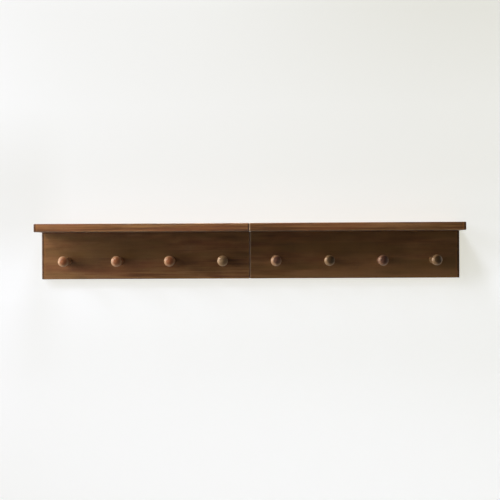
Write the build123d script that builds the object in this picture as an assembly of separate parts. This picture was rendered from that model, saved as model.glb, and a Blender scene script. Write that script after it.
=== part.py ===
from build123d import *
import math
import os

# A wall shelf over a row of turned pegs, made as two equal sections that hang end to end.
# X runs along the wall, -Y points into the room and +Z is up. The wall is the plane Y = 0.
# The origin is on the wall, at the middle of the line of the hangers' entry holes.

# Sections
section_length = 500.0
seam_gap = 0.3  # between the two sections, where they meet

# Boards
shelf_depth = 100.0
shelf_thickness = 19.0
rail_height = 112.0
rail_thickness = 19.0
edge_radius = 2.0  # sanded rounding of every edge that a hand can reach

# Pegs, each turned in one piece with the tenon that is glued into the rail
pegs_per_section = 4
peg_spacing = 125.0
peg_height = 43.0  # peg axis above the rail's lower edge
peg_projection = 58.0  # rail's front to the tip of the head
head_diameter = 25.0
head_rim_radius = 4.0
head_dome_radius = 16.0
neck_diameter = 12.0
neck_to_rim = 11.5  # narrowest place of the neck to the widest place of the head
shoulder_diameter = 19.0
shoulder_land = 1.5
tenon_diameter = 12.0
tenon_length = 15.0
tenon_chamfer = 1.0

# Dowels that join the shelf's underside to the rail's top
dowels_per_section = 4
dowel_diameter = 8.0
dowel_in_shelf = 11.0
dowel_in_rail = 29.0
dowel_end_distance = 25.0  # end of the boards to the first dowel
dowel_chamfer = 1.0

# Room for glue in the blind holes of tenons and dowels
glue_clearance = 0.05  # on the radius
glue_depth = 0.8  # beyond the end

# Keyhole hangers, let in flush with the rail's back
hanger_drop = 36.0  # rail's top to the entry holes
hanger_length = 45.0
hanger_width = 16.0
hanger_thickness = 2.0
hanger_clearance = 0.2  # all round, in its recess
entry_diameter = 9.5
entry_below_middle = 4.0
slot_width = 5.0
slot_rise = 10.0  # entry hole to the wall screw's seat, at the top of the slot
pocket_depth = 5.0  # behind the plate, for the wall screw's head
pocket_clearance = 0.75  # beyond the entry hole, on each side

# Screws that hold the hangers
hanger_screw_spacing = 34.0
screw_diameter = 3.5
screw_head_diameter = 7.2
screw_head_rim = 0.3
screw_head_sink = 0.1  # below the plate's face
screw_length = 16.0
screw_point_length = 3.0
screw_clearance = 0.05
cross_width = 0.9
cross_length = 4.2
cross_depth = 1.2

# Places that follow from them
rail_top = hanger_drop
rail_bottom = rail_top - rail_height
peg_z = rail_bottom + peg_height
section_centre = (section_length + seam_gap) / 2
hanger_z = entry_below_middle  # middle of the plate
hanger_from_centre = peg_spacing * (pegs_per_section - 2) / 2  # between the two outer pegs


def evenly_spaced(count, spacing):
    """Places of a row of things about zero."""
    return [(i - (count - 1) / 2) * spacing for i in range(count)]


def dowel_places():
    span = section_length - 2 * dowel_end_distance
    return evenly_spaced(dowels_per_section, span / (dowels_per_section - 1))


def into_wood(x, y, z):
    """Puts a shape that was drawn along +X at a place, pointing into the room."""
    return Pos(x, y, z) * Rot(0, 0, -90)


def turned(*lines):
    """A solid of revolution about X, from the lines of its upper half and the axis."""
    edges = [edge for line in lines for edge in line.edges()]
    return revolve(make_face(edges), axis=Axis.X)


# Boards


def shelf_board(x):
    board = Pos(x, -shelf_depth / 2, rail_top + shelf_thickness / 2) * Box(
        section_length, shelf_depth, shelf_thickness
    )
    against_wall = board.faces().sort_by(Axis.Y)[-1]
    board = fillet(board.edges() - against_wall.edges(), edge_radius)
    for place in dowel_places():
        board -= dowel_hole(x + place)
    return board


def rail_board(x):
    board = Pos(x, -rail_thickness / 2, rail_top - rail_height / 2) * Box(
        section_length, rail_thickness, rail_height
    )
    against_wall = board.faces().sort_by(Axis.Y)[-1]
    under_shelf = board.faces().sort_by(Axis.Z)[-1]
    board = fillet(board.edges() - against_wall.edges() - under_shelf.edges(), edge_radius)
    for place in evenly_spaced(pegs_per_section, peg_spacing):
        board -= tenon_hole(x + place)
    for place in dowel_places():
        board -= dowel_hole(x + place)
    for place in (-hanger_from_centre, hanger_from_centre):
        board -= hanger_recess(x + place)
    return board


# Pegs


def peg_profile():
    """The lines of a peg's outline, from the tenon's end at -X to the tip at +X."""
    head_radius = head_diameter / 2
    neck_radius = neck_diameter / 2
    shoulder_radius = shoulder_diameter / 2
    tenon_radius = tenon_diameter / 2

    # The rim's circle rolls inside the dome's sphere and touches the head's widest place.
    rim_r = head_radius - head_rim_radius
    reach = head_dome_radius - head_rim_radius
    dome_x = peg_projection - head_dome_radius
    rim_x = dome_x + math.sqrt(reach**2 - rim_r**2)
    dome_share = head_dome_radius / reach
    dome_end = (dome_x + (rim_x - dome_x) * dome_share, rim_r * dome_share)
    widest = (rim_x, head_radius)

    # The cove's circle touches the rim's from outside and meets the neck along the axis.
    neck = (rim_x - neck_to_rim, neck_radius)
    above_neck = rim_r - neck_radius
    cove_radius = (neck_to_rim**2 + above_neck**2 - head_rim_radius**2) / (
        2 * (head_rim_radius + above_neck)
    )
    cove_share = cove_radius / (cove_radius + head_rim_radius)
    cove_z = neck_radius + cove_radius
    cove_end = (neck[0] + neck_to_rim * cove_share, cove_z + (rim_r - cove_z) * cove_share)

    tenon_end = (-tenon_length, 0)
    chamfer_start = (-tenon_length, tenon_radius - tenon_chamfer)
    chamfer_end = (-tenon_length + tenon_chamfer, tenon_radius)
    tenon_root = (0, tenon_radius)
    shoulder = (0, shoulder_radius)
    land_end = (shoulder_land, shoulder_radius)
    tip = (peg_projection, 0)
    return [
        Polyline(tenon_end, chamfer_start, chamfer_end, tenon_root, shoulder, land_end),
        TangentArc(neck, land_end, tangent=(-1, 0)),
        TangentArc(neck, cove_end, tangent=(1, 0)),
        ThreePointArc(cove_end, widest, dome_end),
        TangentArc(tip, dome_end, tangent=(0, 1)),
        Line(tip, tenon_end),
    ]


def peg(x):
    return into_wood(x, -rail_thickness, peg_z) * turned(*peg_profile())


def tenon_hole(x):
    depth = tenon_length + glue_depth
    hole = Cylinder(tenon_diameter / 2 + glue_clearance, depth)
    return Pos(x, -rail_thickness + depth / 2, peg_z) * Rot(90, 0, 0) * hole


# Dowels


def dowel(x):
    pin = Cylinder(dowel_diameter / 2, dowel_in_rail + dowel_in_shelf)
    pin = chamfer(pin.edges().filter_by(GeomType.CIRCLE), dowel_chamfer)
    return Pos(x, -rail_thickness / 2, rail_top + (dowel_in_shelf - dowel_in_rail) / 2) * pin


def dowel_hole(x):
    """The hole for one dowel, which reaches into both boards."""
    depth = dowel_in_rail + dowel_in_shelf + 2 * glue_depth
    hole = Cylinder(dowel_diameter / 2 + glue_clearance, depth)
    return Pos(x, -rail_thickness / 2, rail_top + (dowel_in_shelf - dowel_in_rail) / 2) * hole


# Hangers


def upright_slot(x, z, length, width):
    return Pos(x, z) * SlotOverall(length, width, rotation=90)


def hanger(x):
    plate = upright_slot(x, hanger_z, hanger_length, hanger_width)
    plate -= Pos(x, 0) * Circle(entry_diameter / 2)
    plate -= upright_slot(x, slot_rise / 2, slot_rise + slot_width, slot_width)
    plate = extrude(Plane.XZ * plate, hanger_thickness)
    for z in hanger_screw_heights():
        plate -= screw_hole(x, z)
    return plate


def hanger_recess(x):
    """What is cut from the rail's back for one hanger, its screws and the wall screw's head."""
    outline = upright_slot(
        x, hanger_z, hanger_length + 2 * hanger_clearance, hanger_width + 2 * hanger_clearance
    )
    pocket_width = entry_diameter + 2 * pocket_clearance
    pocket = upright_slot(x, slot_rise / 2, slot_rise + pocket_width, pocket_width)
    recess = extrude(Plane.XZ * outline, hanger_thickness)
    recess += extrude(Plane.XZ * pocket, hanger_thickness + pocket_depth)
    for z in hanger_screw_heights():
        recess += screw_hole(x, z)
    return recess


def hanger_screw_heights():
    return [hanger_z + place for place in evenly_spaced(2, hanger_screw_spacing)]


def screw_body(extra):
    """A countersunk screw along +X from the plate's face, or with extra room its hole."""
    radius = screw_diameter / 2 + extra
    head = screw_head_diameter / 2 + extra
    face = 0 if extra else screw_head_sink
    rim = screw_head_sink + screw_head_rim
    end = screw_length + extra
    return turned(
        Polyline(
            (face, 0),
            (face, head),
            (rim, head),
            (rim + head - radius, radius),
            (end - screw_point_length, radius),
            (end, 0),
            (face, 0),
        )
    )


def screw(x, z):
    body = screw_body(0)
    for turn in (0, 90):
        arm = Box(2 * (screw_head_sink + cross_depth), cross_width, cross_length)
        body -= Rot(turn, 0, 0) * arm
    return into_wood(x, 0, z) * body


def screw_hole(x, z):
    return into_wood(x, 0, z) * screw_body(screw_clearance)


# The whole object


def section(side, direction):
    """All nodes of one section, by name."""
    x = direction * section_centre
    nodes = {
        f"{side}_shelf_board": shelf_board(x),
        f"{side}_rail_board": rail_board(x),
        f"{side}_dowels": Compound(children=[dowel(x + place) for place in dowel_places()]),
    }
    for number, place in enumerate(evenly_spaced(pegs_per_section, peg_spacing), 1):
        nodes[f"{side}_peg_{number}"] = peg(x + place)
    hanger_places = {
        f"{side}_outer_hanger": x + direction * hanger_from_centre,
        f"{side}_inner_hanger": x - direction * hanger_from_centre,
    }
    for name, place in hanger_places.items():
        nodes[name] = hanger(place)
    nodes[f"{side}_hanger_screws"] = Compound(
        children=[screw(place, z) for place in hanger_places.values() for z in hanger_screw_heights()]
    )
    return nodes


os.makedirs("parts", exist_ok=True)
for side, direction in (("left", -1), ("right", 1)):
    for name, solid in section(side, direction).items():
        solid.label = name
        export_step(solid, f"parts/{name}.step")
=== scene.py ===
import math

import bpy
from mathutils import Matrix, Vector


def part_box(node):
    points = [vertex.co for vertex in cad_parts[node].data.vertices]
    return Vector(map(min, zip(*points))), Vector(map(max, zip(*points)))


# A wall shelf over eight turned pegs, in two sections that hang end to end on a pale wall.
# Metres throughout. X runs along the wall, -Y points into the room and +Z is up.

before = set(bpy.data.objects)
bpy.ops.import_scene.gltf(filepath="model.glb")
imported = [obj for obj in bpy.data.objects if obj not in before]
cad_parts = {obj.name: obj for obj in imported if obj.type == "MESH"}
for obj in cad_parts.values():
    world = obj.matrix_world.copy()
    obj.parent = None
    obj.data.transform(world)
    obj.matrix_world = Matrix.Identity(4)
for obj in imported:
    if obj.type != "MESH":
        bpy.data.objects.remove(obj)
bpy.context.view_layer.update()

SECTIONS = ("left", "right")
PEGS_PER_SECTION = 4

# Room
WALL_BEHIND = 0.0003  # gap between the boards' backs and the wall
WALL_HALF_WIDTH = 4.0
WALL_TOP = 4.0
FLOOR_HEIGHT = -1.5
FLOOR_HALF_WIDTH = 5.0
OPENING_MARGIN = 0.003  # the wall's openings end this far inside a rail's outline

# Camera
CAMERA_PLACE = (0.0445, -2.284, -0.0078)
CAMERA_YAW = math.radians(-1.11)
CAMERA_ROLL = math.radians(-0.282)
CAMERA_LENS = 68.13
SENSOR = 36.0
CAMERA_REACH = 50.0


# ---------------------------------------------------------------- node trees


class Graph:
    """Adds nodes to one node tree and joins them up."""

    def __init__(self, tree):
        self.tree = tree

    def put(self, value, socket):
        if isinstance(value, bpy.types.NodeSocket):
            self.tree.links.new(value, socket)
        elif isinstance(value, (tuple, list)) and len(value) == 3 and socket.type == "RGBA":
            socket.default_value = (*value, 1.0)
        else:
            socket.default_value = value

    def node(self, kind, settings=None, **inputs):
        made = self.tree.nodes.new(kind)
        for name, value in (settings or {}).items():
            setattr(made, name, value)
        for name, value in inputs.items():
            self.put(value, made.inputs[name.replace("_", " ")])
        return made

    def maths(self, operation, *values, clamp=False):
        made = self.tree.nodes.new("ShaderNodeMath")
        made.operation = operation
        made.use_clamp = clamp
        for value, socket in zip(values, made.inputs):
            self.put(value, socket)
        return made.outputs[0]

    def span(self, value, low, high, start=0.0, end=1.0, smooth=False):
        """Maps low..high to start..end, clamped."""
        made = self.tree.nodes.new("ShaderNodeMapRange")
        made.interpolation_type = "SMOOTHSTEP" if smooth else "LINEAR"
        for number, item in enumerate((value, low, high, start, end)):
            self.put(item, made.inputs[number])
        return made.outputs[0]

    def split(self, vector):
        made = self.node("ShaderNodeSeparateXYZ", Vector=vector)
        return made.outputs[0], made.outputs[1], made.outputs[2]

    def join(self, x, y, z):
        return self.node("ShaderNodeCombineXYZ", X=x, Y=y, Z=z).outputs[0]

    def stretch(self, vector, scale, shift=(0.0, 0.0, 0.0)):
        made = self.node("ShaderNodeMapping", Vector=vector)
        made.inputs["Scale"].default_value = scale
        made.inputs["Location"].default_value = shift
        return made.outputs[0]

    def noise(self, vector, detail, roughness=0.5):
        """Noise from 0 to 1 that changes about once in a unit of the vector."""
        made = self.node("ShaderNodeTexNoise", Vector=vector, Scale=1.0, Detail=detail, Roughness=roughness)
        return made.outputs[0]

    def mix(self, share, first, second, blend="MIX"):
        made = self.tree.nodes.new("ShaderNodeMix")
        made.data_type = "RGBA"
        made.blend_type = blend
        self.put(share, made.inputs[0])
        self.put(first, made.inputs[6])
        self.put(second, made.inputs[7])
        return made.outputs[2]

    def bump(self, height, distance, strength):
        return self.node("ShaderNodeBump", Height=height, Distance=distance, Strength=strength).outputs[0]

    def length(self, vector):
        made = self.node("ShaderNodeVectorMath", {"operation": "LENGTH"})
        self.put(vector, made.inputs[0])
        return made.outputs["Value"]


SOCKETS = {"vector": "NodeSocketVector", "value": "NodeSocketFloat"}


def shared(name, inputs, outputs):
    """A shader node group with named sockets. Returns it with its graph, inputs and output node."""
    group = bpy.data.node_groups.new(name, "ShaderNodeTree")
    for label, kind, start in inputs:
        socket = group.interface.new_socket(label, in_out="INPUT", socket_type=SOCKETS[kind])
        if start is not None:
            socket.default_value = start
    for label, kind in outputs:
        group.interface.new_socket(label, in_out="OUTPUT", socket_type=SOCKETS[kind])
    graph = Graph(group)
    source = group.nodes.new("NodeGroupInput")
    target = group.nodes.new("NodeGroupOutput")
    return group, graph, source.outputs, target


def give(graph, target, **outputs):
    """Joins the values to a group's outputs. An underscore stands for a space in their names."""
    for label, value in outputs.items():
        graph.put(value, target.inputs[label.replace("_", " ")])


def use(graph, group, **inputs):
    """Places a shared group in a material, with its own values."""
    made = graph.tree.nodes.new("ShaderNodeGroup")
    made.node_tree = group
    for label, value in inputs.items():
        graph.put(value, made.inputs[label.replace("_", " ")])
    return made.outputs


# ------------------------------------------------------------- shared effects


# How often each part of the wood's figure changes in a metre, along the grain and both ways across it
DRIFT_SCALE = (2.2, 7.0, 7.0)
UNEVEN_SCALE = (1.6, 38.0, 38.0)
DRY_YEARS_SCALE = (1.1, 30.0, 30.0)
STREAK_SCALE = (4.0, 190.0, 230.0)
CLOUD_SCALE = (2.6, 20.0, 24.0)
BLOTCH_SCALE = (16.0, 62.0, 74.0)
HUE_SCALE = (4.5, 34.0, 40.0)
FIBRE_SCALE = (30.0, 1100.0, 1100.0)
PORE_SCALE = (130.0, 3000.0, 3000.0)
RING_UNEVENNESS = 4.0  # in widths of a ring


def make_figure():
    """Growth rings, streaks, patches, fibres and pores of solid wood, which grows along the vector's X."""
    group, g, given, target = shared(
        "Wood figure",
        [
            ("Vector", "vector", None),
            ("Ring Spacing", "value", 0.004),
            ("Pith Depth", "value", 0.06),
            ("Pith Height", "value", -0.02),
            ("Wander", "value", 0.02),
        ],
        [
            ("Rings", "value"),
            ("Streaks", "value"),
            ("Cloud", "value"),
            ("Blotches", "value"),
            ("Hue", "value"),
            ("Fibres", "value"),
            ("Pores", "value"),
        ],
    )
    place = given["Vector"]
    _, depth, height = g.split(place)

    # Rings lie about the pith, each with a dark late edge, and fade in some years.
    from_pith = g.length(
        g.join(
            0.0,
            g.maths("SUBTRACT", depth, given["Pith Depth"]),
            g.maths("SUBTRACT", height, given["Pith Height"]),
        )
    )
    drift = g.maths("SUBTRACT", g.noise(g.stretch(place, DRIFT_SCALE), detail=2.0), 0.5)
    bent = g.maths("MULTIPLY_ADD", drift, given["Wander"], from_pith)
    uneven = g.noise(g.stretch(place, UNEVEN_SCALE), detail=3.0)
    rings_out = g.maths("DIVIDE", bent, given["Ring Spacing"])
    rings_out = g.maths("MULTIPLY_ADD", uneven, RING_UNEVENNESS, rings_out)
    year = g.maths("FRACT", rings_out)
    late = g.maths(
        "MULTIPLY",
        g.span(year, 0.35, 0.88, smooth=True),
        g.span(year, 0.90, 1.0, 1.0, 0.0, smooth=True),
    )
    dry_years = g.noise(g.stretch(place, DRY_YEARS_SCALE, (0.8, 2.3, 1.1)), detail=1.0)
    rings = g.maths("MULTIPLY", late, g.span(dry_years, 0.35, 0.65, 0.15, 1.0, smooth=True))

    streaks = g.noise(g.stretch(place, STREAK_SCALE, (0.3, 1.7, 0.2)), detail=4.0, roughness=0.55)
    cloud = g.noise(g.stretch(place, CLOUD_SCALE, (4.1, 0.6, 2.2)), detail=2.0)
    blotches = g.noise(g.stretch(place, BLOTCH_SCALE, (1.9, 5.1, 3.4)), detail=3.0)
    hue = g.noise(g.stretch(place, HUE_SCALE, (2.9, 3.3, 0.7)), detail=2.0)
    fibres = g.noise(g.stretch(place, FIBRE_SCALE), detail=3.0, roughness=0.6)

    # Pores are short dashes, more of them in the early wood.
    dashes = g.noise(g.stretch(place, PORE_SCALE, (1.3, 0.4, 0.9)), detail=1.0)
    closed = g.span(year, 0.1, 0.9, 0.62, 0.72)
    pores = g.span(g.maths("SUBTRACT", dashes, closed), 0.0, 0.05, smooth=True)
    give(
        g, target,
        Rings=rings, Streaks=streaks, Cloud=cloud, Blotches=blotches, Hue=hue, Fibres=fibres, Pores=pores,
    )
    return group


# Bands at a board's ends, as distances from the end
DARK_END_BAND = (0.0040, 0.0062)  # full up to the first, gone at the second
DARK_END_WANDER = 0.0035
PALE_END_BAND_START = (0.0050, 0.0068)
PALE_END_BAND_END = (0.0075, 0.0110)
INNER_BAND = (0.0024, 0.0034)
END_FACE = (0.0003, 0.0013)
END_FACE_SPARED = 0.55  # share of the dark band that the end face itself is spared


def make_edge_masks():
    """Masks of the edges and the ends of a box of the given half size about the vector's zero, with which the
    boards paint shade, highlights and end bands.

    Outer Side is 1 where the box's outer end is at +X, and -1 where it is at -X.
    """
    group, g, given, target = shared(
        "Edge masks",
        [
            ("Vector", "vector", None),
            ("Half Size", "vector", (0.1, 0.1, 0.1)),
            ("Width", "value", 0.0025),
            ("Outer Side", "value", 1.0),
        ],
        [
            ("Upper", "value"),
            ("Lower", "value"),
            ("Outer End", "value"),
            ("Near Outer End", "value"),
            ("Inner End", "value"),
            ("End Grain", "value"),
        ],
    )
    size = g.node("ShaderNodeVectorMath", {"operation": "ABSOLUTE"})
    g.put(given["Vector"], size.inputs[0])
    inside = g.node("ShaderNodeVectorMath", {"operation": "SUBTRACT"})
    g.put(given["Half Size"], inside.inputs[0])
    g.put(size.outputs[0], inside.inputs[1])
    x, y, z = g.split(inside.outputs[0])
    along, _, level = g.split(given["Vector"])

    # An edge is where two faces are near, so the second smallest distance counts.
    to_edge = g.maths("MAXIMUM", g.maths("MINIMUM", x, y), g.maths("MINIMUM", g.maths("MAXIMUM", x, y), z))
    patchy = g.noise(g.stretch(given["Vector"], (45.0, 160.0, 160.0)), detail=3.0)
    reach = g.maths("MULTIPLY", given["Width"], g.span(patchy, 0.35, 0.7, 0.35, 1.6))
    near_edge = g.maths("SUBTRACT", 1.0, g.maths("DIVIDE", to_edge, reach), clamp=True)
    lower = g.maths("MULTIPLY", near_edge, g.span(level, 0.001, -0.001))
    upper = g.maths("SUBTRACT", near_edge, lower)

    on_outer = g.maths("GREATER_THAN", g.maths("MULTIPLY", along, given["Outer Side"]), 0.0)
    on_inner = g.maths("SUBTRACT", 1.0, on_outer)
    from_end = g.maths("MULTIPLY_ADD", g.maths("SUBTRACT", patchy, 0.5), DARK_END_WANDER, x)
    end_grain = g.span(x, *END_FACE, 1.0, 0.0, smooth=True)
    outer = g.maths("MULTIPLY", on_outer, g.span(from_end, *DARK_END_BAND, 1.0, 0.0, smooth=True))
    outer = g.maths("MULTIPLY", outer, g.maths("MULTIPLY_ADD", end_grain, -END_FACE_SPARED, 1.0))
    near = g.maths(
        "MULTIPLY",
        g.span(from_end, *PALE_END_BAND_START),
        g.span(from_end, *PALE_END_BAND_END, 1.0, 0.0, smooth=True),
    )
    near = g.maths("MULTIPLY", on_outer, near)
    inner = g.maths("MULTIPLY", on_inner, g.span(x, *INNER_BAND, 1.0, 0.0, smooth=True))
    give(
        g, target,
        Upper=upper, Lower=lower, Outer_End=outer, Near_Outer_End=near, Inner_End=inner, End_Grain=end_grain,
    )
    return group


def make_handling():
    """Uneven gloss of a lacquer film, with faint smudges."""
    group, g, given, target = shared(
        "Handled lacquer",
        [("Vector", "vector", None), ("Roughness", "value", 0.35), ("Spread", "value", 0.1)],
        [("Roughness", "value"), ("Film", "value")],
    )
    smudges = g.noise(g.stretch(given["Vector"], (22.0, 26.0, 26.0)), detail=3.0, roughness=0.6)
    peel = g.noise(g.stretch(given["Vector"], (420.0, 420.0, 420.0)), detail=1.0)
    rough = g.maths("MULTIPLY_ADD", g.maths("SUBTRACT", smudges, 0.5), given["Spread"], given["Roughness"])
    give(g, target, Roughness=rough, Film=peel)
    return group


def make_plating():
    """Fine scratches, dull bloom and drawing lines of plated steel."""
    group, g, given, target = shared(
        "Plated steel surface",
        [("Vector", "vector", None), ("Roughness", "value", 0.34)],
        [("Tone", "value"), ("Roughness", "value"), ("Height", "value")],
    )
    bloom = g.noise(g.stretch(given["Vector"], (160.0, 160.0, 160.0)), detail=3.0, roughness=0.6)
    drawn = g.noise(g.stretch(given["Vector"], (4200.0, 300.0, 180.0)), detail=2.0)
    scratches = g.noise(g.stretch(given["Vector"], (700.0, 500.0, 5200.0)), detail=0.0)
    marks = g.span(scratches, 0.68, 0.74, smooth=True)
    rough = g.maths("MULTIPLY_ADD", g.maths("SUBTRACT", bloom, 0.5), 0.24, given["Roughness"])
    rough = g.maths("MULTIPLY_ADD", marks, 0.12, rough, clamp=True)
    tone = g.maths("MULTIPLY_ADD", drawn, 0.25, g.maths("MULTIPLY", bloom, 0.75))
    height = g.maths("SUBTRACT", drawn, g.maths("MULTIPLY", marks, 1.5))
    give(g, target, Tone=tone, Roughness=rough, Height=height)
    return group


FIGURE = make_figure()
EDGE_MASKS = make_edge_masks()
LACQUER = make_handling()
PLATED = make_plating()


# ------------------------------------------------------------------ materials


def plain_name(node):
    return node.replace("_", " ").capitalize()


def new_material(name):
    """A cleared material. Returns it with its graph, its surface shader and the place on the object."""
    material = bpy.data.materials.new(name)
    material.use_nodes = True
    tree = material.node_tree
    tree.nodes.clear()
    graph = Graph(tree)
    surface = graph.node("ShaderNodeBsdfPrincipled")
    output = graph.node("ShaderNodeOutputMaterial")
    tree.links.new(surface.outputs[0], output.inputs["Surface"])
    place = graph.node("ShaderNodeTexCoord").outputs["Object"]
    return material, graph, surface, place


# Stain on the boards, from its dark lines to its pale ones, and where it leans to red or olive
STAIN_DARK = (0.125, 0.049, 0.015)
STAIN_MIDDLE = (0.240, 0.103, 0.034)
STAIN_PALE = (0.360, 0.172, 0.064)
STAIN_RED = (0.275, 0.098, 0.036)
STAIN_OLIVE = (0.220, 0.113, 0.032)
PORE_DARK = (0.050, 0.021, 0.010)
SHADE_HUE_LEAN = 1.2  # painted shade tint: boards turn from red to olive by this much per metre upwards, for the cooler light in the shade under the shelf

# Edges and ends of the boards: a pale colour for painted highlights and reflections on edges, a dark one for
# painted shade and dark bands, and a paler band near the outer ends
EDGE_HIGHLIGHT = (0.43, 0.255, 0.135)
DARK_EDGE = (0.085, 0.036, 0.014)
PALE_END = (0.42, 0.165, 0.045)
EDGE_WIDTH = 0.0022

# Painted light: a paler band along a rail's lower edge, where light reaches in under the shelf's shadow, with
# a wavy upper border
LIT_FOOT_BORDER = (0.0145, 0.0175)
LIT_FOOT_WAVE = 0.02
LIT_FOOT_STREAKS = 2.6

# Turned sides and end grain of the pegs. The sides are painted paler than the boards as a painted highlight
# where light falls on them from the left, and the domes are darker than end grain alone, partly their own end
# grain and partly painted shade on the faces turned to the room.
ROSE_SIDE = (0.64, 0.345, 0.180)
HONEY_SIDE = (0.42, 0.260, 0.125)
PLUM_SIDE = (0.34, 0.160, 0.100)
COPPER_DOME = (0.42, 0.122, 0.036)
OLIVE_DOME = (0.33, 0.200, 0.095)
PLUM_DOME = (0.16, 0.062, 0.042)
UMBER_DOME = (0.085, 0.046, 0.014)
# Painted highlight on the rim of each head
RIM_HIGHLIGHT = (0.52, 0.32, 0.19)
AMBER_FILM = (1.0, 0.76, 0.56, 1.0)

# Where a peg's head changes, from its axis and from the wall
DOME_EDGE = (0.0066, 0.0112)
DOME_FRONT = (-0.069, -0.071)
RIM_START = (0.0098, 0.0120)

BEECH_DARK = (0.50, 0.33, 0.18)
BEECH_PALE = (0.66, 0.48, 0.29)
BEECH_RING = (0.42, 0.25, 0.12)


def stained(g, figure, rings, streaks, blotches, warmth, tone=0.5):
    """Colour of stained wood from its figure, about a tone from 0, dark, to 1, pale."""
    tone = g.maths("MULTIPLY_ADD", g.maths("SUBTRACT", figure["Streaks"], 0.5), streaks, tone)
    tone = g.maths("MULTIPLY_ADD", g.maths("SUBTRACT", figure["Cloud"], 0.5), 0.8, tone)
    tone = g.maths("MULTIPLY_ADD", g.maths("SUBTRACT", figure["Blotches"], 0.5), blotches, tone)
    tone = g.maths("MULTIPLY_ADD", g.maths("SUBTRACT", figure["Fibres"], 0.5), 0.5, tone)
    tone = g.maths("MULTIPLY_ADD", figure["Rings"], -rings, tone)
    low = g.mix(g.span(tone, 0.0, 0.5), STAIN_DARK, STAIN_MIDDLE)
    base = g.mix(g.span(tone, 0.5, 1.0), low, STAIN_PALE)
    hue = g.maths("ADD", g.maths("SUBTRACT", figure["Hue"], 0.5), warmth)
    base = g.mix(g.span(hue, 0.02, 0.20), base, g.mix(0.7, base, STAIN_RED))
    base = g.mix(g.span(hue, -0.02, -0.20), base, g.mix(0.7, base, STAIN_OLIVE))
    return g.mix(g.maths("MULTIPLY", figure["Pores"], 0.6), base, PORE_DARK)


def board_wood(
    node, pith, shift, rings, streaks, blotches, warmth, tone, paler_right, paler_up, lit_foot,
    lower_edge, inner_end, inner_share,
):
    """Stained and lacquered board, whose tone gets paler by so much per metre to the right and upwards, as
    painted light and shade.
    """
    low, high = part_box(node)
    centre = (low + high) / 2
    half = (high - low) / 2
    material, g, surface, place = new_material(plain_name(node))
    centred = g.stretch(place, (1.0, 1.0, 1.0), tuple(-centre))
    grown = g.stretch(centred, (1.0, 1.0, 1.0), shift)
    figure = use(
        g, FIGURE, Vector=grown, Ring_Spacing=0.008, Wander=0.04,
        Pith_Depth=pith[0] + shift[1], Pith_Height=pith[1] + shift[2],
    )
    edge_masks = use(
        g, EDGE_MASKS, Vector=centred, Half_Size=tuple(half), Width=EDGE_WIDTH,
        Outer_Side=math.copysign(1.0, centre.x),
    )
    along, _, up = g.split(centred)
    # Painted light and shade: paler up the shelves' fronts where light falls from above, darker up the rails
    # into the shelf's shade, and lighter or darker along each board as the lamps' light falls off.
    tone = g.maths("MULTIPLY_ADD", along, paler_right, g.maths("MULTIPLY_ADD", up, paler_up, tone))

    # Painted light along the rail's foot, where its grain also shows more strongly.
    wave = g.noise(g.stretch(centred, (9.0, 60.0, 0.0), shift), detail=3.0)
    above_foot = g.maths("ADD", up, half.z)
    above_foot = g.maths("MULTIPLY_ADD", g.maths("SUBTRACT", wave, 0.5), LIT_FOOT_WAVE, above_foot)
    lit_foot_band = g.span(above_foot, *LIT_FOOT_BORDER, 1.0, 0.0, smooth=True)
    tone = g.maths("MULTIPLY_ADD", lit_foot_band, lit_foot, tone)
    if lit_foot:
        streaks = g.maths("MULTIPLY_ADD", lit_foot_band, LIT_FOOT_STREAKS, streaks)

    # Painted shade tint: more olive towards a board's top.
    hue = g.maths("MULTIPLY_ADD", up, -SHADE_HUE_LEAN, warmth)
    colour = stained(g, figure, rings, streaks, blotches, hue, tone)
    # A paler band a little in from each outer end.
    colour = g.mix(g.maths("MULTIPLY", edge_masks["Near Outer End"], 0.35), colour, PALE_END)
    # A darker band at each outer end, patchy along the streaks.
    end_darkness = g.span(figure["Streaks"], 0.40, 0.62, 0.55, 0.88)
    colour = g.mix(g.maths("MULTIPLY", edge_masks["Outer End"], end_darkness), colour, DARK_EDGE)
    # Painted shade along the upper edges.
    colour = g.mix(g.maths("MULTIPLY", edge_masks["Upper"], 0.75), colour, DARK_EDGE)
    # Lower edges: a painted reflection of the pale floor on the shelves, and darker on the rails.
    colour = g.mix(g.maths("MULTIPLY", edge_masks["Lower"], 0.6), colour, lower_edge)
    # Seam ends: painted shade on the left shelf's end, which is turned from the light, and a painted
    # highlight on the others, strongest on the right shelf's end, which faces the light.
    colour = g.mix(g.maths("MULTIPLY", edge_masks["Inner End"], inner_share), colour, inner_end)
    ringed = g.maths("MULTIPLY", edge_masks["End Grain"], g.maths("MULTIPLY", figure["Rings"], 0.7))
    colour = g.mix(ringed, colour, PORE_DARK)

    film = use(g, LACQUER, Vector=centred, Roughness=0.37, Spread=0.16)
    rough = g.maths("MULTIPLY_ADD", figure["Pores"], 0.22, film["Roughness"], clamp=True)
    height = g.maths("MULTIPLY_ADD", figure["Pores"], -1.0, g.maths("MULTIPLY", figure["Fibres"], 0.35))
    height = g.maths("MULTIPLY_ADD", film["Film"], 0.25, height)
    g.put(colour, surface.inputs["Base Color"])
    g.put(rough, surface.inputs["Roughness"])
    g.put(g.bump(height, 0.00012, 0.6), surface.inputs["Normal"])
    surface.inputs["Coat Weight"].default_value = 0.3
    surface.inputs["Coat Roughness"].default_value = 0.25
    return material


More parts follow.
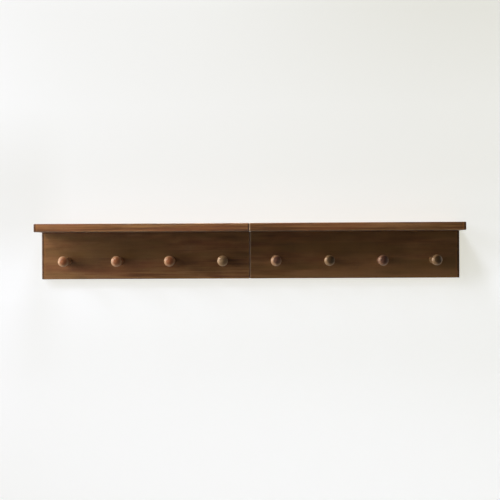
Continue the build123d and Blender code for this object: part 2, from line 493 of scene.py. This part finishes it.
def peg_wood(node, shift, side_tone, dome_tone, dome_shade_offset):
    """Turned wood that grows along the peg, with dark end grain on the dome, moved a little off its axis as
    painted shade on the head's upper right.
    """
    low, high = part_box(node)
    centre = (low + high) / 2
    material, g, surface, place = new_material(plain_name(node))
    turned = g.node("ShaderNodeMapping", Vector=place)
    turned.inputs["Rotation"].default_value = (0.0, 0.0, -math.pi / 2)
    turned.inputs["Location"].default_value = (0.0, centre.x, -centre.z)
    local = turned.outputs[0]
    along, across, up = g.split(local)
    grown = g.stretch(local, (1.0, 1.0, 1.0), shift)
    figure = use(
        g, FIGURE, Vector=grown, Ring_Spacing=0.0021, Wander=0.006,
        Pith_Depth=0.02, Pith_Height=0.012,
    )
    out = g.length(g.join(0.0, across, up))
    to_right, to_top = dome_shade_offset
    # Painted shade: the dark dome reaches further over the head's upper right.
    from_dome = g.length(g.join(0.0, g.maths("ADD", across, to_right), g.maths("SUBTRACT", up, to_top)))
    dome = g.maths(
        "MULTIPLY",
        g.span(from_dome, *DOME_EDGE, 1.0, 0.0, smooth=True),
        g.span(along, *DOME_FRONT),
    )
    # Patches that darken the end grain like grime and vary the painted highlight on the rim.
    grime_and_highlight_patches = g.noise(g.stretch(local, (160.0, 160.0, 160.0)), detail=2.0)
    rim_highlight = g.maths("MULTIPLY", g.span(out, *RIM_START, smooth=True), g.span(grime_and_highlight_patches, 0.3, 0.6, 0.5, 1.0))

    # Painted highlight and shade: the side is mixed towards a pale side tone, and below the dome towards a
    # dark dome tone.
    colour = g.mix(0.6, stained(g, figure, rings=0.35, streaks=0.9, blotches=0.6, warmth=0.0), side_tone)
    end_grain = g.mix(g.maths("MULTIPLY", figure["Rings"], 0.6), dome_tone, PORE_DARK)
    end_grain = g.mix(g.span(grime_and_highlight_patches, 0.35, 0.75, 0.0, 0.5), end_grain, PORE_DARK)
    colour = g.mix(g.maths("MULTIPLY", dome, 0.92), colour, end_grain)
    # Painted highlight: a pale ring at each head's rim, where the rim catches light and reflects the pale
    # wall below.
    colour = g.mix(g.maths("MULTIPLY", rim_highlight, 0.25), colour, RIM_HIGHLIGHT)

    film = use(g, LACQUER, Vector=local, Roughness=0.40, Spread=0.12)
    turns = g.join(g.maths("MULTIPLY", along, 1500.0), g.maths("MULTIPLY", out, 900.0), 0.0)
    lathe = g.noise(turns, detail=1.0)
    height = g.maths("MULTIPLY_ADD", figure["Pores"], -0.8, g.maths("MULTIPLY", lathe, 0.5))
    g.put(colour, surface.inputs["Base Color"])
    g.put(g.maths("MULTIPLY_ADD", figure["Pores"], 0.15, film["Roughness"]), surface.inputs["Roughness"])
    g.put(g.bump(height, 0.00010, 0.5), surface.inputs["Normal"])
    surface.inputs["Specular IOR Level"].default_value = 0.85
    surface.inputs["Specular Tint"].default_value = AMBER_FILM
    surface.inputs["Coat Weight"].default_value = 0.15
    surface.inputs["Coat Roughness"].default_value = 0.3
    return material


def dowel_wood():
    """Plain beech that grows along the upright dowels."""
    material, g, surface, place = new_material("Beech dowel")
    turned = g.node("ShaderNodeMapping", Vector=place)
    turned.inputs["Rotation"].default_value = (0.0, math.pi / 2, 0.0)
    figure = use(
        g, FIGURE, Vector=turned.outputs[0], Ring_Spacing=0.0017, Wander=0.004,
        Pith_Depth=0.05, Pith_Height=0.03,
    )
    tone = g.maths("MULTIPLY_ADD", figure["Fibres"], 0.4, g.maths("MULTIPLY", figure["Streaks"], 0.6))
    colour = g.mix(g.span(tone, 0.3, 0.7), BEECH_DARK, BEECH_PALE)
    colour = g.mix(g.maths("MULTIPLY", figure["Rings"], 0.25), colour, BEECH_RING)
    g.put(colour, surface.inputs["Base Color"])
    g.put(g.span(figure["Fibres"], 0.0, 1.0, 0.6, 0.8), surface.inputs["Roughness"])
    g.put(g.bump(figure["Fibres"], 0.0001, 0.5), surface.inputs["Normal"])
    return material


def plated_steel(name, pale, dull, roughness, scale):
    """Zinc plated steel, drawn along X. A larger scale makes its marks finer."""
    material, g, surface, place = new_material(name)
    skin = use(g, PLATED, Vector=g.stretch(place, (scale, scale, scale)), Roughness=roughness)
    g.put(g.mix(g.span(skin["Tone"], 0.3, 0.7), dull, pale), surface.inputs["Base Color"])
    g.put(skin["Roughness"], surface.inputs["Roughness"])
    g.put(g.bump(skin["Height"], 0.00003, 0.4), surface.inputs["Normal"])
    surface.inputs["Metallic"].default_value = 1.0
    return material


def dress(node, material):
    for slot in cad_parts[node].material_slots:
        slot.material = material


# Each board is cut from another place of the log. Its pith is given by depth and height from its centre.
# Their paler_right and paler_up paint light and shade, the rails' olive warmth is a painted shade tint,
# lit_foot paints the lit band along a rail's foot, and the seam ends are painted shade or highlight.
BOARDS = {
    "left_shelf_board": {
        "pith": (0.045, -0.030), "shift": (0.31, 0.120, 0.045),
        "rings": 0.20, "streaks": 5.6, "blotches": 1.5, "warmth": 0.07,
        "tone": 0.50, "paler_right": -0.8, "paler_up": 4.0, "lit_foot": 0.0,
        "lower_edge": EDGE_HIGHLIGHT, "inner_end": DARK_EDGE, "inner_share": 0.7,
    },
    "right_shelf_board": {
        "pith": (0.050, 0.026), "shift": (2.77, 0.410, 0.310),
        "rings": 0.20, "streaks": 6.0, "blotches": 1.5, "warmth": 0.06,
        "tone": 0.50, "paler_right": -0.1, "paler_up": 2.0, "lit_foot": 0.0,
        "lower_edge": EDGE_HIGHLIGHT, "inner_end": EDGE_HIGHLIGHT, "inner_share": 0.8,
    },
    "left_rail_board": {
        "pith": (0.038, -0.012), "shift": (5.13, 0.730, 0.620),
        "rings": 0.04, "streaks": 1.0, "blotches": 1.7, "warmth": -0.08,
        "tone": 0.53, "paler_right": -0.2, "paler_up": -0.8, "lit_foot": 0.26,
        "lower_edge": DARK_EDGE, "inner_end": EDGE_HIGHLIGHT, "inner_share": 0.1,
    },
    "right_rail_board": {
        "pith": (0.042, 0.018), "shift": (7.91, 0.180, 0.930),
        "rings": 0.04, "streaks": 0.8, "blotches": 1.3, "warmth": -0.09,
        "tone": 0.67, "paler_right": 1.0, "paler_up": -6.5, "lit_foot": 0.24,
        "lower_edge": DARK_EDGE, "inner_end": EDGE_HIGHLIGHT, "inner_share": 0.2,
    },
}
for node, values in BOARDS.items():
    dress(node, board_wood(node, **values))

# Each peg's side and dome, from left to right, mostly paler on the left and darker on the right as painted
# light falloff along the row
PEG_TONES = {
    "left": (
        (ROSE_SIDE, COPPER_DOME),
        (ROSE_SIDE, COPPER_DOME),
        (ROSE_SIDE, COPPER_DOME),
        (HONEY_SIDE, OLIVE_DOME),
    ),
    "right": (
        (ROSE_SIDE, PLUM_DOME),
        (HONEY_SIDE, UMBER_DOME),
        (PLUM_SIDE, PLUM_DOME),
        (HONEY_SIDE, UMBER_DOME),
    ),
}
DOME_SHADE_OFFSET = {"left": (0.0008, 0.0008), "right": (0.0023, 0.0012)}  # to the right and up, as painted shade on the upper right of each head
PEG_SHIFT = (0.7, 0.37, 0.21)  # how far apart two pegs of a section are cut from the wood
SECTION_SHIFT = {"left": 0.4, "right": 1.9}
for side in SECTIONS:
    for number in range(1, PEGS_PER_SECTION + 1):
        node = f"{side}_peg_{number}"
        x, y, z = (step * number for step in PEG_SHIFT)
        side_tone, dome_tone = PEG_TONES[side][number - 1]
        shift = (x, y, z + SECTION_SHIFT[side])
        dress(node, peg_wood(node, shift, side_tone, dome_tone, DOME_SHADE_OFFSET[side]))

dowels = dowel_wood()
hanger_steel = plated_steel("Hanger steel", (0.66, 0.66, 0.64), (0.46, 0.46, 0.45), roughness=0.36, scale=1.0)
screw_steel = plated_steel("Screw steel", (0.70, 0.68, 0.60), (0.50, 0.48, 0.42), roughness=0.30, scale=1.5)
for side in SECTIONS:
    dress(f"{side}_dowels", dowels)
    dress(f"{side}_outer_hanger", hanger_steel)
    dress(f"{side}_inner_hanger", hanger_steel)
    dress(f"{side}_hanger_screws", screw_steel)


# ------------------------------------------------------------------ the room


# What the wall's paint shows by itself, a glow painted brighter near the lamps and darker far from them as
# painted light falloff, and its share of light and shadow
SHOWN_NEAR = (0.725, 0.712, 0.655)
SHOWN_FAR = (0.595, 0.580, 0.475)
SHADOW_SHARE = (0.232, 0.245, 0.305)
TONED_REACH = 0.6  # the tones change this far from the middle and stay level beyond

# What the boards hide of the wall, where it doesn't shine through their seam
COVERED_X = 0.45
COVERED_Z = (-0.072, 0.051)

WALL_BODY = (0.8, 0.8, 0.79, 1.0)
FLOOR_BODY = (0.35, 0.35, 0.34, 1.0)
FLOOR_SHOWN = (0.70, 0.70, 0.68, 1.0)
FLOOR_SHARE = (0.12, 0.12, 0.12, 1.0)


def uncovered(g, along, up):
    """0 behind the boards and 1 elsewhere."""
    bottom, top = COVERED_Z
    level = g.maths("MULTIPLY", g.maths("GREATER_THAN", up, bottom), g.maths("LESS_THAN", up, top))
    hidden = g.maths("MULTIPLY", level, g.maths("LESS_THAN", g.maths("ABSOLUTE", along), COVERED_X))
    return g.maths("SUBTRACT", 1.0, hidden)


def wall_tones(g, place):
    """What the wall shows by itself, how strongly, and its share of light, which evens out the lamps."""
    along, _, up = g.split(place)
    along = g.span(along, -TONED_REACH, TONED_REACH, -TONED_REACH, TONED_REACH)
    up = g.span(up, -TONED_REACH, TONED_REACH, -TONED_REACH, TONED_REACH)

    # The wall's glow is painted darker from the lower left to the upper right, as painted light falloff away
    # from the lamps.
    glow_falloff = g.maths("MULTIPLY_ADD", g.maths("MULTIPLY", along, up), 0.33, 0.37)
    glow_falloff = g.maths("MULTIPLY_ADD", along, 0.40, g.maths("MULTIPLY_ADD", up, 0.52, glow_falloff), clamp=True)

    # How bright the lamps make the wall, as a power of e
    rise = g.span(up, -0.12, 0.57)
    light = g.maths("MULTIPLY_ADD", rise, 1.38, g.maths("MULTIPLY_ADD", along, -0.72, -0.72))
    curve = g.maths("MULTIPLY_ADD", rise, -1.38, 0.18)
    light = g.maths("MULTIPLY_ADD", g.maths("MULTIPLY", along, along), curve, light)
    near_level = g.span(g.maths("ABSOLUTE", up), 0.15, 0.35, 0.22, 0.0)
    beside = g.maths("MULTIPLY", g.span(along, -0.43, -0.52), near_level)
    above = g.maths("MULTIPLY", g.span(up, 0.0, 0.06), g.span(up, 0.18, 0.34, 0.17, 0.0))
    below = g.maths("MULTIPLY", g.span(up, -0.30, -0.12, 0.0, -0.14), g.span(up, -0.06, 0.0, 1.0, 0.0))
    light = g.maths("ADD", g.maths("ADD", light, beside), g.maths("ADD", above, below))

    evened = g.maths("EXPONENT", g.maths("MULTIPLY", light, -1.0))
    share = g.mix(1.0, SHADOW_SHARE, g.join(evened, evened, evened), "MULTIPLY")
    return g.mix(glow_falloff, SHOWN_NEAR, SHOWN_FAR), uncovered(g, along, up), share


def floor_tones(g, place):
    """The same for the floor, which is even all over."""
    return FLOOR_SHOWN, 1.0, FLOOR_SHARE


def backdrop_paint(name, body, tones, mirrored):
    """Pale paint that shows near white, still takes a soft shadow, and can be looked through from behind.

    Light that falls back from it has the body's colour. Mirrored paint looks the same in reflections.
    """
    material, g, surface, place = new_material(name)
    output = g.tree.nodes["Material Output"]
    surface.inputs["Base Color"].default_value = body
    surface.inputs["Roughness"].default_value = 0.9
    surface.inputs["Specular IOR Level"].default_value = 0.1
    rays = g.node("ShaderNodeLightPath").outputs
    seen = rays["Is Camera Ray"]
    if mirrored:
        reflected = g.maths("MAXIMUM", rays["Is Glossy Ray"], rays["Is Transmission Ray"])
        seen = g.maths("MAXIMUM", seen, reflected)
    shown, strength, share = tones(g, place)
    glow = g.node("ShaderNodeEmission", Color=shown, Strength=strength)
    paint = g.node("ShaderNodeBsdfDiffuse", Color=share)
    plain = g.tree.nodes.new("ShaderNodeAddShader")
    g.put(glow.outputs[0], plain.inputs[0])
    g.put(paint.outputs[0], plain.inputs[1])
    choose = g.node("ShaderNodeMixShader", Fac=seen)
    g.put(surface.outputs[0], choose.inputs[1])
    g.put(plain.outputs[0], choose.inputs[2])
    behind = g.node("ShaderNodeNewGeometry").outputs["Backfacing"]
    clear = g.node("ShaderNodeBsdfTransparent")
    both = g.node("ShaderNodeMixShader", Fac=behind)
    g.put(choose.outputs[0], both.inputs[1])
    g.put(clear.outputs[0], both.inputs[2])
    g.tree.links.new(both.outputs[0], output.inputs["Surface"])
    return material


def start_piece():
    """Object mode with nothing selected, because an operator acts on all that is selected."""
    if bpy.context.object and bpy.context.object.mode != "OBJECT":
        bpy.ops.object.mode_set(mode="OBJECT")
    bpy.ops.object.select_all(action="DESELECT")


def cut_plane(place, normal):
    bpy.ops.mesh.select_all(action="SELECT")
    bpy.ops.mesh.bisect(plane_co=place, plane_no=normal)


def make_wall():
    """A wall with an opening behind each section, so that their backs are lit from behind too."""
    start_piece()
    height = WALL_TOP - FLOOR_HEIGHT
    bpy.ops.mesh.primitive_plane_add(
        size=1.0, location=(0.0, WALL_BEHIND, FLOOR_HEIGHT + height / 2), rotation=(math.pi / 2, 0.0, 0.0)
    )
    wall = bpy.context.object
    wall.name = "Wall"
    wall.scale = (2 * WALL_HALF_WIDTH, height, 1.0)
    bpy.ops.object.transform_apply(location=True, rotation=True, scale=True)
    openings = []
    for side in SECTIONS:
        low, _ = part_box(f"{side}_rail_board")
        _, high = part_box(f"{side}_shelf_board")
        openings.append((low.x + OPENING_MARGIN, high.x - OPENING_MARGIN))
    bottom, top = low.z + OPENING_MARGIN, high.z - OPENING_MARGIN
    bpy.ops.object.mode_set(mode="EDIT")
    for z in (bottom, top):
        cut_plane((0.0, 0.0, z), (0.0, 0.0, 1.0))
    for x in sorted(x for pair in openings for x in pair):
        cut_plane((x, 0.0, 0.0), (1.0, 0.0, 0.0))
    bpy.ops.mesh.select_all(action="DESELECT")
    bpy.ops.object.mode_set(mode="OBJECT")
    for face in wall.data.polygons:
        face.select = bottom < face.center.z < top and any(a < face.center.x < b for a, b in openings)
    bpy.ops.object.mode_set(mode="EDIT")
    bpy.ops.mesh.delete(type="FACE")
    bpy.ops.object.mode_set(mode="OBJECT")
    return wall


def make_floor():
    start_piece()
    bpy.ops.mesh.primitive_plane_add(size=2 * FLOOR_HALF_WIDTH, location=(0.0, 0.0, FLOOR_HEIGHT))
    floor = bpy.context.object
    floor.name = "Floor"
    bpy.ops.object.transform_apply(location=True)
    return floor


wall = make_wall()
wall.data.materials.append(backdrop_paint("Wall paint", WALL_BODY, wall_tones, mirrored=True))
floor = make_floor()
floor.data.materials.append(backdrop_paint("Floor paint", FLOOR_BODY, floor_tones, mirrored=False))


# ------------------------------------------------------------------ the light


LIGHT_AIM = (-0.1, -0.05, 0.0)


def panel(name, place, width, height, power):
    """A soft lamp that faces the rail."""
    lamp = bpy.data.lights.new(name, "AREA")
    lamp.shape = "RECTANGLE"
    lamp.size = width
    lamp.size_y = height
    lamp.energy = power
    thing = bpy.data.objects.new(name, lamp)
    bpy.context.scene.collection.objects.link(thing)
    thing.location = place
    thing.rotation_euler = (Vector(LIGHT_AIM) - Vector(place)).to_track_quat("-Z", "Y").to_euler()


panel("Low left panel", (-2.44, -0.54, -0.19), 0.60, 0.70, 17.3)
panel("High left panel", (-2.27, -0.82, 0.59), 0.60, 0.70, 26.9)
panel("Near left panel", (-1.08, -0.55, 0.67), 0.26, 0.26, 4.5)
panel("Front panel", (-1.16, -1.16, 1.14), 0.50, 0.30, 3.7)
panel("Front low panel", (-1.38, -1.87, -0.65), 0.60, 0.70, 2.8)
panel("Top panel", (-0.20, -0.30, 1.20), 0.40, 0.40, 20.5)
panel("Right panel", (2.00, -0.45, 0.25), 0.40, 0.40, 1.5)

# The room's light, from the camera's side and from behind the wall, and what the camera sees of it
ROOM_AHEAD = 0.024
ROOM_BEHIND = 0.9
ROOM_COLOUR = (0.88, 1.0, 1.06)
SHOWN_ROOM = (0.94, 0.94, 0.93, 1.0)


def make_world():
    world = bpy.data.worlds.new("Room")
    bpy.context.scene.world = world
    world.use_nodes = True
    world.node_tree.nodes.clear()
    g = Graph(world.node_tree)
    direction = g.node("ShaderNodeTexCoord").outputs["Generated"]
    _, ahead, _ = g.split(direction)
    strength = g.span(ahead, 0.0, 0.2, ROOM_AHEAD, ROOM_BEHIND)
    light = g.node("ShaderNodeBackground", Color=ROOM_COLOUR, Strength=strength)
    shown = g.node("ShaderNodeBackground", Color=SHOWN_ROOM, Strength=1.0)
    rays = g.node("ShaderNodeLightPath").outputs
    choose = g.node("ShaderNodeMixShader", Fac=rays["Is Camera Ray"])
    g.put(light.outputs[0], choose.inputs[1])
    g.put(shown.outputs[0], choose.inputs[2])
    output = g.node("ShaderNodeOutputWorld")
    g.tree.links.new(choose.outputs[0], output.inputs["Surface"])


make_world()


# ----------------------------------------------------------------- the camera


def make_camera():
    ahead = Vector((math.sin(CAMERA_YAW), math.cos(CAMERA_YAW), 0.0))
    level = Vector((math.cos(CAMERA_YAW), -math.sin(CAMERA_YAW), 0.0))
    upright = Vector((0.0, 0.0, 1.0))
    right = level * math.cos(CAMERA_ROLL) + upright * math.sin(CAMERA_ROLL)
    up = upright * math.cos(CAMERA_ROLL) - level * math.sin(CAMERA_ROLL)
    lens = bpy.data.cameras.new("Camera")
    lens.lens = CAMERA_LENS
    lens.sensor_width = SENSOR
    lens.clip_end = CAMERA_REACH
    camera = bpy.data.objects.new("Camera", lens)
    bpy.context.scene.collection.objects.link(camera)
    turn = Matrix((right, up, -ahead)).transposed().to_4x4()
    camera.matrix_world = Matrix.Translation(CAMERA_PLACE) @ turn
    bpy.context.scene.camera = camera


make_camera()
bpy.context.scene.view_settings.view_transform = "Standard"

start_piece()
